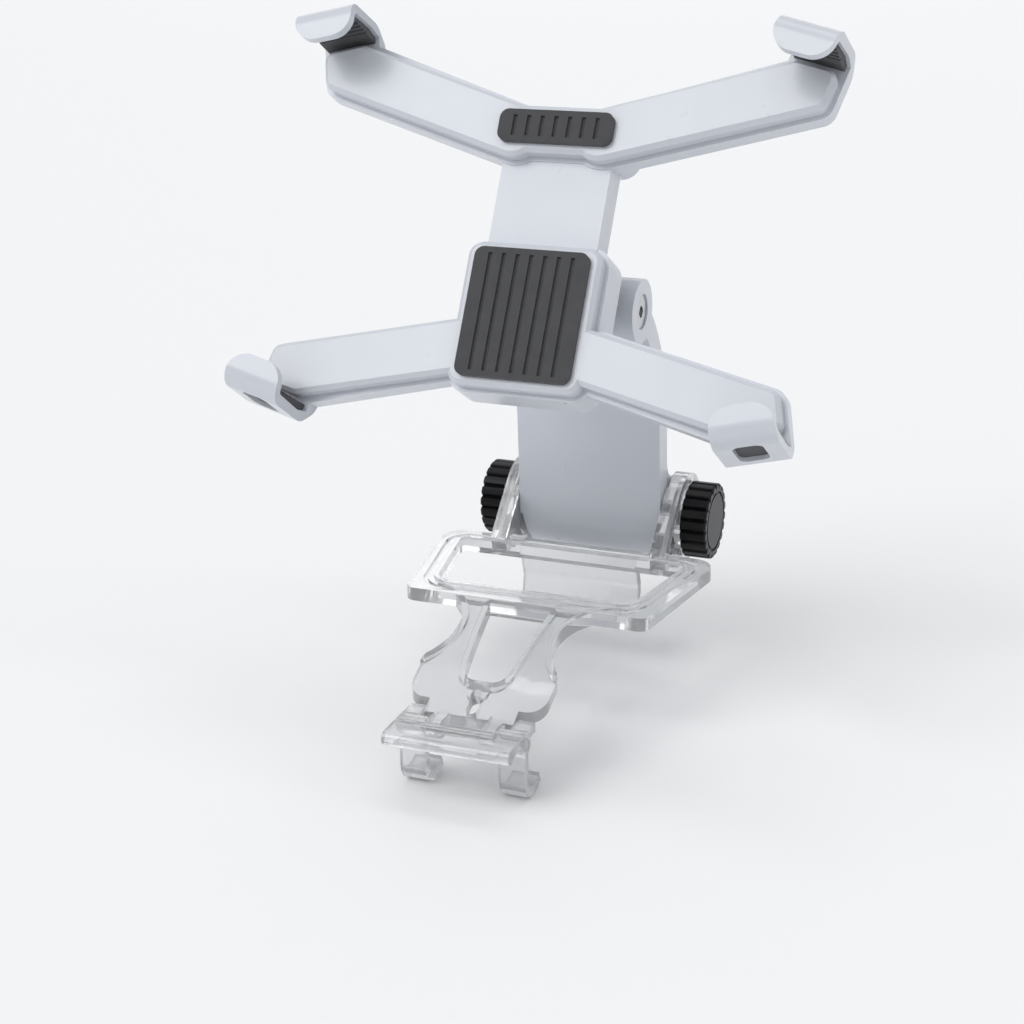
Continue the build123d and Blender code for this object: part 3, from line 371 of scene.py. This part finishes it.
# %% Finishes by the record's material slots
FINISHES = {
    "white_plastic": white_plastic,
    "clear_plastic": clear_plastic,
    "black_plastic": black_plastic,
    "grey_rubber": grey_rubber,
    "steel": steel,
    "brass": brass,
    "nylon": nylon,
}
print("finishes:", len(FINISHES), "and the knob face")

# %% [markdown]
# Which finish goes where
#
# The record names a material slot for each node. Reading it keeps the scene and the record
# together, and every node gets its finish even when a rounded piece will replace it later.

# %% Finish every node
node_slot = {part["node"]: part["material_slot"] for part in frame["record"]["subparts"]}
node_body = {node: body for body, nodes in frame["record"]["behaviour"]["bodies"].items() for node in nodes}
for node, solid in frame["nodes"].items():
    for holder in solid.material_slots:
        holder.material = FINISHES[node_slot[node]]
    if not solid.material_slots:
        solid.data.materials.append(FINISHES[node_slot[node]])
print("finished nodes:", len(node_slot))

# %% [markdown]
# Rounded edges
#
# A moulded piece has no knife edges: each one has a small radius that catches a thin line of
# light. The solids' edges are sharp where a fillet would cost too many faces. A copy of the
# solid's mesh is cleaned of its flat triangles, and a Bevel modifier rolls every edge that turns
# more than a limit. Weighted normals then keep the flat faces flat to the eye.

# %% Rounding helper
EDGE_LIMIT = radians(28)
FLAT_LIMIT = radians(0.8)
WELD = 0.002 * MM
MANY_SIDES = 12         # faces with more corners than this are split before the bevel
EDGE_STEPS = 3          # strips across a rolled edge


def rounded(node, radius_mm):
    """A copy of a node with rolled edges, which stands for it."""
    mesh = frame["nodes"][node].data.copy()
    mesh.name = node + "_shape"
    work = bmesh.new()
    work.from_mesh(mesh)
    bmesh.ops.remove_doubles(work, verts=work.verts, dist=WELD)
    bmesh.ops.dissolve_limit(work, angle_limit=FLAT_LIMIT, verts=work.verts, edges=work.edges)
    wide = [face for face in work.faces if len(face.verts) > MANY_SIDES]
    bmesh.ops.triangulate(work, faces=wide, ngon_method="BEAUTY")
    work.to_mesh(mesh)
    work.free()
    piece = bpy.data.objects.new(node + "_shape", mesh)
    scene.collection.objects.link(piece)
    bevel = piece.modifiers.new("rolled edges", "BEVEL")
    bevel.width = radius_mm * MM
    bevel.segments = EDGE_STEPS
    bevel.limit_method = "ANGLE"
    bevel.angle_limit = EDGE_LIMIT
    bevel.miter_outer = "MITER_ARC"
    for face in mesh.polygons:
        face.use_smooth = True
    weighted = piece.modifiers.new("flat faces", "WEIGHTED_NORMAL")
    weighted.keep_sharp = False
    final = bpy.data.meshes.new_from_object(piece.evaluated_get(bpy.context.evaluated_depsgraph_get()))
    piece.modifiers.clear()
    piece.data = final
    final.name = node + "_shape"
    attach(piece, node_body[node])
    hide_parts(node)
    return piece


print("edges that turn over", round(degrees(EDGE_LIMIT)), "degrees get rolled")

# %% Round the moulded pieces
# Node, and the radius of its edges in millimetres
ROUNDED = [
    ("base_frame", 0.35),
    ("front_latch", 0.35),
    ("stem_shell", 0.6),
    ("stem_cover", 0.25),
    ("lower_jaw_rear", 0.6),
    ("upper_jaw_rear", 0.6),
    ("lower_jaw_cover", 0.3),
    ("upper_jaw_cover", 0.3),
    ("neck_bracket", 0.5),
    ("knob_left", 0.2),
    ("knob_right", 0.2),
    ("neck_bolt", 0.2),
    ("neck_nut", 0.25),
    ("washer_left", 0.1),
    ("washer_right", 0.1),
    ("latch_pin", 0.15),
    ("lower_back_pad", 0.25),
    ("upper_back_pad", 0.25),
    ("lower_claw_pad_left", 0.12),
    ("lower_claw_pad_right", 0.12),
    ("upper_claw_pad_left", 0.12),
    ("upper_claw_pad_right", 0.12),
]
shaped = {}
for node, radius in ROUNDED:
    shaped[node] = rounded(node, radius)
    print(node, "faces", len(shaped[node].data.polygons))

# %% [markdown]
# Corners of the liners
#
# Each claw's rubber liner reaches almost to the lip's rounded corners, and its own square corners
# would show past them from the front. The few points there move inwards along the lip's arc,
# measured in the claw's own directions. The head leans, so its directions come first: the jaw
# slides straight up it.

# %% Directions of the head
slide = next(joint for joint in frame["record"]["behaviour"]["joints"] if joint["name"] == "jaw_slide")
HEAD_UP = Vector(slide["axis"]).normalized()
HEAD_SIDE = Vector((1.0, 0.0, 0.0))
HEAD_BACK = HEAD_UP.cross(HEAD_SIDE).normalized()
print("head leans", round(degrees(HEAD_UP.angle(Vector((0.0, 0.0, 1.0)))), 1), "degrees")

# %% Liners follow the lips' corners
CLAW_SPLAY = radians(14)
CLAW_HALF = 6.4 * MM
LIP_ROUND = 4.6 * MM
LINER_RISE = 3.0 * MM        # liner's edge over the centre of the lip's rounding
LINER_INSET = 0.35 * MM      # from the lip's edge to the liner's

for level, up in (("lower", -1), ("upper", 1)):
    for hand, side in (("left", -1), ("right", 1)):
        liner = shaped[f"{level}_claw_pad_{hand}"].data
        inward = -side * sin(CLAW_SPLAY) * HEAD_SIDE - up * cos(CLAW_SPLAY) * HEAD_UP
        across = HEAD_BACK.cross(inward)
        edge = max(vertex.co.dot(inward) for vertex in liner.vertices)
        middle = sum(vertex.co.dot(across) for vertex in liner.vertices) / len(liner.vertices)
        moved = 0
        for vertex in liner.vertices:
            rise = LINER_RISE - (edge - vertex.co.dot(inward))
            if rise <= 0:
                continue
            limit = CLAW_HALF - LIP_ROUND + sqrt(LIP_ROUND**2 - rise**2) - LINER_INSET
            offset = vertex.co.dot(across) - middle
            if abs(offset) > limit:
                vertex.co += across * (copysign(limit, offset) - offset)
                moved += 1
        print(level, hand, "liner points moved:", moved)

# %% [markdown]
# Knob faces with a painted sheen
#
# The outer face of each knob is painted a little greyer than its fluted rim, a painted sheen
# for the light its flat end catches. A second material on the faces that look outwards does that.

# %% Knob faces with a painted sheen
FACE_LIMIT = 0.9             # least sideways part of a face's direction
FACE_DEPTH = 0.7 * MM        # of the flat outer end that gets the painted sheen, from its outermost point

for node, outward in (("knob_left", -1.0), ("knob_right", 1.0)):
    knob = shaped[node]
    # The second material paints the sheen on the outward faces
    knob.data.materials.append(knob_face_painted_sheen)
    outer = max(outward * vertex.co.x for vertex in knob.data.vertices)
    for face in knob.data.polygons:
        near_face = outward * face.center.x > outer - FACE_DEPTH
        if face.normal.x * outward > FACE_LIMIT and near_face:
            face.material_index = 1
print("knob faces done")

# %% [markdown]
# Screws
#
# Twelve small pan-head screws hold the jaws together, and two larger ones hold the knobs. The
# solids leave out the cross in the head and the thread. A thread could be a swept triangle. Here
# the screw is one turned surface whose radius also follows the angle, which gives a true helix.

# %% Helpers for turned pieces
def piece_from(name, points, faces, finish):
    """A smooth object from points and faces."""
    mesh = bpy.data.meshes.new(name)
    mesh.from_pydata([tuple(point) for point in points], [], faces)
    mesh.materials.append(finish)
    mesh.shade_smooth()
    piece = bpy.data.objects.new(name, mesh)
    scene.collection.objects.link(piece)
    return piece


def turned(rows, sides):
    """Points and faces of a closed form turned about Z: rows are functions of the angle."""
    points = []
    for row in rows:
        for side in range(sides):
            angle = 2 * pi * side / sides
            radius, height = row(angle)
            points.append(Vector((radius * cos(angle), radius * sin(angle), height)))
    faces = []
    for level in range(len(rows) - 1):
        for side in range(sides):
            beside = (side + 1) % sides
            low, high = level * sides, (level + 1) * sides
            faces.append((low + side, low + beside, high + beside, high + side))
    faces.append(tuple(reversed(range(sides))))
    faces.append(tuple((len(rows) - 1) * sides + side for side in range(sides)))
    return points, faces


def plain_row(radius, height):
    """A round row of a turned form."""
    return lambda angle: (radius, height)


def thread_rows(radius, low, high, pitch, depth, per_turn=6):
    """Rows of a thread: the radius dips once in each pitch, and the dip climbs with the angle."""
    def thread_row(height):
        def row(angle):
            share = (height / pitch - angle / (2 * pi)) % 1.0
            return (radius - depth * abs(2 * share - 1), height)
        return row

    count = max(2, int((high - low) / pitch * per_turn))
    return [thread_row(low + (high - low) * step / count) for step in range(count + 1)]


box_faces = turned([plain_row(1.0, 0.0), plain_row(1.0, 1.0)], 4)[1]
print("two rows of four points make", len(box_faces), "faces")

# %% Cutter for the cross recess
PAN_HEIGHT = 1.2 * MM
CROSS_WIDTH = 0.62 * MM
CROSS_REACH = 1.45 * MM
CROSS_DEPTH = 0.75 * MM
CROSS_ABOVE = 0.3 * MM       # the cutter stands this far over the head
CROSS_FLOOR_REACH = 0.45     # the recess narrows to these shares at its floor
CROSS_FLOOR_WIDTH = 0.6


def cross_cutter():
    """Two crossed bars that narrow towards the recess's floor."""
    cross = bmesh.new()
    for turned_by in (0, 90):
        bar = bmesh.ops.create_cube(cross, size=1.0)["verts"]
        for corner in bar:
            if corner.co.z > 0:
                reach, width, height = CROSS_REACH, CROSS_WIDTH, PAN_HEIGHT + CROSS_ABOVE
            else:
                reach, width = CROSS_REACH * CROSS_FLOOR_REACH, CROSS_WIDTH * CROSS_FLOOR_WIDTH
                height = PAN_HEIGHT - CROSS_DEPTH
            corner.co = Vector((2 * reach * corner.co.x, width * corner.co.y, height))
        bmesh.ops.rotate(cross, verts=bar, matrix=Matrix.Rotation(radians(turned_by), 3, "Z"))
    cutter_mesh = bpy.data.meshes.new("cross")
    cross.to_mesh(cutter_mesh)
    cross.free()
    cutter = bpy.data.objects.new("cross", cutter_mesh)
    scene.collection.objects.link(cutter)
    return cutter


print("cross recess", round(CROSS_DEPTH / MM, 2), "mm deep")

# %% One small screw with a cross recess
PAN_RADIUS = 2.4 * MM
PAN_RIM = 0.15               # of the head's height, before its dome starts
PAN_FLAT = 0.25              # of the head's radius, left flat at its top
PAN_FULLNESS = 0.6           # under 1 makes the dome squarer than a ball
PAN_STEPS = 8
SEAT_EDGE = 0.1 * MM         # the seat's chamfer, and the plain shank under it
SHANK_RADIUS = 1.25 * MM
TIP_RADIUS = 0.6 * SHANK_RADIUS
TIP_SHOULDER = 0.9 * SHANK_RADIUS
TIP_LENGTH = 0.3 * MM
THREAD_START = 0.35 * MM     # from the tip
THREAD_STOP = 0.3 * MM       # from the seat
SMALL_PITCH = 0.6 * MM
THREAD_DEPTH = 0.22 * MM
SCREW_SIDES = 32


def small_screw(length):
    """A pan-head screw along +Z, its head's seat at z = 0 and its tip at -length."""
    rows = [plain_row(TIP_RADIUS, -length), plain_row(TIP_SHOULDER, TIP_LENGTH - length)]
    rows += thread_rows(SHANK_RADIUS, THREAD_START - length, -THREAD_STOP, SMALL_PITCH, THREAD_DEPTH)
    rows += [plain_row(SHANK_RADIUS, -SEAT_EDGE), plain_row(SHANK_RADIUS, 0.0)]
    rows.append(plain_row(PAN_RADIUS - SEAT_EDGE, 0.0))
    for step in range(PAN_STEPS + 1):
        bow = step / PAN_STEPS * pi / 2
        radius = PAN_RADIUS * (PAN_FLAT + (1 - PAN_FLAT) * cos(bow) ** PAN_FULLNESS)
        rows.append(plain_row(radius, PAN_HEIGHT * (PAN_RIM + (1 - PAN_RIM) * sin(bow))))
    points, faces = turned(rows, SCREW_SIDES)
    screw = piece_from("screw_form", points, faces, steel)
    cutter = cross_cutter()
    cut = screw.modifiers.new("cross recess", "BOOLEAN")
    cut.object = cutter
    cut.use_self = True
    final = bpy.data.meshes.new_from_object(screw.evaluated_get(bpy.context.evaluated_depsgraph_get()))
    bpy.data.objects.remove(cutter)
    bpy.data.objects.remove(screw)
    return final


print("small screw's head", round(2 * PAN_RADIUS / MM, 2), "mm across")

# %% Helpers that read where the solids are
def middle_of(group):
    """The mean place of a group of points, across and up, rounded so that equals stay equal."""
    return [round(sum(point[axis] for point in group) / len(group), 6) for axis in (0, 2)]


def solids_of(node):
    """The separate solids of a node, each as its points, from left to right."""
    work = bmesh.new()
    work.from_mesh(frame["nodes"][node].data)
    bmesh.ops.remove_doubles(work, verts=work.verts, dist=WELD)
    left = set(work.verts)
    groups = []
    while left:
        queue = [left.pop()]
        group = []
        while queue:
            vert = queue.pop()
            group.append(vert.co.copy())
            for edge in vert.link_edges:
                other = edge.other_vert(vert)
                if other in left:
                    left.remove(other)
                    queue.append(other)
        groups.append(group)
    work.free()
    return sorted(groups, key=middle_of)


def span(points, direction):
    """How far points reach along a direction, lowest and highest."""
    along = [point.dot(direction) for point in points]
    return min(along), max(along)


print("solids in upper_jaw_screws:", len(solids_of("upper_jaw_screws")))

# %% Put a small screw wherever the solids have one
CROSS_TURNS = (12, 47, 71, 25)      # degrees, as no two screws stop alike

# All heads are at the back
screw_basis = Matrix((HEAD_SIDE, HEAD_BACK.cross(HEAD_SIDE), HEAD_BACK)).transposed().to_4x4()
for node in ("bracket_screws", "lower_jaw_screws", "upper_jaw_screws"):
    groups = solids_of(node)
    tip, top = span(groups[0], HEAD_BACK)
    form = small_screw(top - tip - PAN_HEIGHT)
    meshes = bmesh.new()
    for group, cross_turn in zip(groups, CROSS_TURNS):
        across = sum(span(group, HEAD_SIDE)) / 2
        height = sum(span(group, HEAD_UP)) / 2
        seat = span(group, HEAD_BACK)[1] - PAN_HEIGHT
        place = HEAD_SIDE * across + HEAD_UP * height + HEAD_BACK * seat
        turn = screw_basis @ Matrix.Rotation(radians(cross_turn), 4, "Z")
        copy = form.copy()
        copy.transform(Matrix.Translation(place) @ turn)
        meshes.from_mesh(copy)
    whole = bpy.data.meshes.new(node + "_detailed")
    meshes.to_mesh(whole)
    meshes.free()
    whole.materials.append(steel)
    screws = bpy.data.objects.new(node + "_detailed", whole)
    scene.collection.objects.link(screws)
    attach(screws, node_body[node])
    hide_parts(node)
    print(node, "screws", len(groups), "faces", len(whole.polygons))

# %% [markdown]
# The knob screws run through the clear ears, so their threads can be seen. Their hexagonal heads
# sit in the knobs.

# %% Threaded knob screws
KNOB_PITCH = 0.8 * MM
KNOB_THREAD = 0.3 * MM
KNOB_TIP_SHARE = 0.8         # of the shank's radius, at its tip
KNOB_THREAD_START = 0.4 * MM
KNOB_SCREW_SIDES = 48
STEPS_PER_TURN = 8
HEX_SIDES = 6
HEX_SHARE = 0.999            # of the solid's head, to stay clear of the knob's pocket
HEX_CORNER_SHARE = 1.3       # points further out than this belong to the head


def off_axis(point, centre):
    """Distance of a point from the knobs' axis."""
    return Vector((0, point.y - centre.y, point.z - centre.z)).length


def hex_row(radius, height):
    """A row with six flats, as far out as radius at its corners."""
    def row(angle):
        flat = (angle + pi / HEX_SIDES) % (2 * pi / HEX_SIDES) - pi / HEX_SIDES
        return (radius * cos(pi / HEX_SIDES) / cos(flat), height)
    return row


for node, outward in (("knob_screw_left", -1.0), ("knob_screw_right", 1.0)):
    points = [vertex.co.copy() for vertex in frame["nodes"][node].data.vertices]
    low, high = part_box(node)
    middle = (low + high) / 2
    tip = low.x if outward > 0 else high.x
    top = high.x if outward > 0 else low.x
    hex_radius = HEX_SHARE * (high.y - low.y) / 2
    shank = [p for p in points if abs(p.x - tip) < WELD]
    radius = max(p.z for p in shank) - middle.z
    corners = [p for p in points if off_axis(p, middle) > HEX_CORNER_SHARE * radius]
    seat = min(abs(p.x) for p in corners)
    length = seat - abs(tip)
    head = abs(top) - seat
    rows = [plain_row(KNOB_TIP_SHARE * radius, -length)]
    rows.append(plain_row(radius - KNOB_THREAD, TIP_LENGTH - length))
    thread_low, thread_high = KNOB_THREAD_START - length, -THREAD_STOP
    rows += thread_rows(radius, thread_low, thread_high, KNOB_PITCH, KNOB_THREAD, STEPS_PER_TURN)
    rows += [plain_row(radius, 0.0), hex_row(hex_radius, 0.0), hex_row(hex_radius, head)]
    form_points, form_faces = turned(rows, KNOB_SCREW_SIDES)
    screw = piece_from(node + "_threaded", form_points, form_faces, steel)
    basis = Matrix.Rotation(radians(90) * outward, 4, "Y")
    seat_place = Vector((outward * seat, middle.y, middle.z))
    screw.data.transform(Matrix.Translation(seat_place) @ basis)
    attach(screw, node_body[node])
    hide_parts(node)
    print(node, "length", round(length / MM, 2), "head", round(head / MM, 2), "mm")

# %% [markdown]
# Coils
#
# A spring is one wire along a helix. The wire could be swept by hand, ring by ring. Here a loop
# works out the helix, and a curve with a round bevel and closed ends becomes the wire's mesh.

# %% Wire helpers
WIRE_ROUNDNESS = 2           # more makes the wire's section rounder
POINTS_PER_TURN = 20


def wire(name, points, radius):
    """A closed round tube along a list of points."""
    curve = bpy.data.curves.new(name, "CURVE")
    curve.dimensions = "3D"
    curve.bevel_depth = radius
    curve.bevel_resolution = WIRE_ROUNDNESS
    curve.use_fill_caps = True
    line = curve.splines.new("POLY")
    line.points.add(len(points) - 1)
    for place, spot in zip(points, line.points):
        spot.co = (*place, 1.0)
    holder = bpy.data.objects.new(name + "_line", curve)
    scene.collection.objects.link(holder)
    mesh = bpy.data.meshes.new_from_object(holder.evaluated_get(bpy.context.evaluated_depsgraph_get()))
    bpy.data.objects.remove(holder)
    mesh.name = name
    for face in mesh.polygons:
        face.use_smooth = True
    piece = bpy.data.objects.new(name, mesh)
    scene.collection.objects.link(piece)
    mesh.materials.clear()
    mesh.materials.append(steel)
    return piece


def helix(start, end, radius, turns, side):
    """Points of a helix from start to end: side points from the axis to the first point."""
    axis = (end - start).normalized()
    other = axis.cross(side)
    count = turns * POINTS_PER_TURN
    points = []
    for step in range(count + 1):
        angle = 2 * pi * step / POINTS_PER_TURN
        centre = start.lerp(end, step / count)
        points.append(centre + radius * (cos(angle) * side + sin(angle) * other))
    return points


print("points in a turn of wire:", POINTS_PER_TURN)

# %% Pull springs in the tongue
PULL_WIRE = 0.35 * MM
PULL_TURNS = 34
HOOK_STRAIGHT = 1.2 * MM
SPRING_END = 1.6 * MM        # room for the straight end and the slope

for node in ("spring_left", "spring_right"):
    low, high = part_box(node)
    middle = (low + high) / 2
    half = (high.z - low.z) / 2 / HEAD_UP.z - SPRING_END
    start, end = middle - HEAD_UP * half, middle + HEAD_UP * half
    reach = (high.x - low.x) / 2 - PULL_WIRE
    points = helix(start, end, reach, PULL_TURNS, HEAD_SIDE)
    points = [start - HEAD_UP * HOOK_STRAIGHT] + points + [end + HEAD_UP * HOOK_STRAIGHT]
    coil = wire(node + "_coil", points, PULL_WIRE)
    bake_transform(coil)
    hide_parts(node)
    print(node, "wire points", len(points))

# %% [markdown]
# The latch spring wraps its pin. Its left leg hooks into the ledge and pulls it down, and its
# right leg bears on the underside of the tail, which swings the hooks in. In the clamp the left
# end follows the latch, the right end the base, and the turns between twist; here the coil is
# one fixed mesh, tied to neither. The legs are a few points added at each end of the helix.

# %% Torsion spring on the latch pin
LATCH_WIRE = 0.3 * MM
LATCH_TURNS = 8
# Points of the legs from the pin's axis, back and up, in millimetres
LEDGE_LEG = [(-5.2, 1.5), (-5.2, 0.4), (-5.0, 0.0), (-4.2, -0.6), (-2.8, -1.34), (-1.5, -1.5)]
TAIL_LEG = [(1.4, -1.42), (2.9, -0.85), (4.2, 0.05), (5.2, 0.55), (6.4, 1.03)]

low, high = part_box("latch_spring")
middle = (low + high) / 2
reach = (high.z - low.z) / 2 - LATCH_WIRE
coil_left = Vector((low.x + LATCH_WIRE, middle.y, middle.z))
coil_right = Vector((high.x - LATCH_WIRE, middle.y, middle.z))
points = [coil_left + Vector((0, y, z)) * MM for y, z in LEDGE_LEG]
points += helix(coil_left, coil_right, reach, LATCH_TURNS, Vector((0.0, 0.0, -1.0)))
points += [coil_right + Vector((0, y, z)) * MM for y, z in TAIL_LEG]
coil = wire("latch_spring_coil", points, LATCH_WIRE)
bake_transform(coil)
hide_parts("latch_spring")
print("latch spring wire points", len(points))

# %% [markdown]
# Spring cover
#
# Between the two knuckles of the base a thin clear roof closes the hinge, so that a finger never
# touches the spring. Its outline continues the knuckles. It is drawn side-on and stretched along
# the pin, as an extruded outline is the plainest way to make a moulding of one section.

# %% Clear roof over the latch spring
ROOF_OUTER = 2.6 * MM        # as the knuckles beside it
ROOF_WALL = 0.6 * MM
ROOF_HALF = 4.38 * MM
ROOF_BACK = 2.98 * MM        # from the pin back to the base's tail
ROOF_STEPS = 14
ROOF_END = radians(195)      # how far the roof comes down in front of the pin

pin_low, pin_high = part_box("latch_pin")
pin = (pin_low + pin_high) / 2


def roof_line(radius):
    """Outline of the roof at one radius from the pin: a flat part, then an arc to the front."""
    line = [(ROOF_BACK, radius)]
    for step in range(ROOF_STEPS + 1):
        angle = pi / 2 + (ROOF_END - pi / 2) * step / ROOF_STEPS
        line.append((radius * cos(angle), radius * sin(angle)))
    return line


outline = roof_line(ROOF_OUTER) + roof_line(ROOF_OUTER - ROOF_WALL)[::-1]
count = len(outline)
points = [Vector((x, pin.y + y, pin.z + z)) for x in (-ROOF_HALF, ROOF_HALF) for y, z in outline]
half = count // 2
faces = [(k, (k + 1) % count, count + (k + 1) % count, count + k) for k in range(count)]
faces += [(k, count - 1 - k, count - 2 - k, k + 1) for k in range(half - 1)]
faces += [(count + k, count + k + 1, 2 * count - 2 - k, 2 * count - 1 - k) for k in range(half - 1)]
roof = piece_from("spring_cover", points, faces, clear_plastic)
roof.data.set_sharp_from_angle(angle=EDGE_LIMIT)
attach(roof, "base")
print("spring cover faces", len(roof.data.polygons))
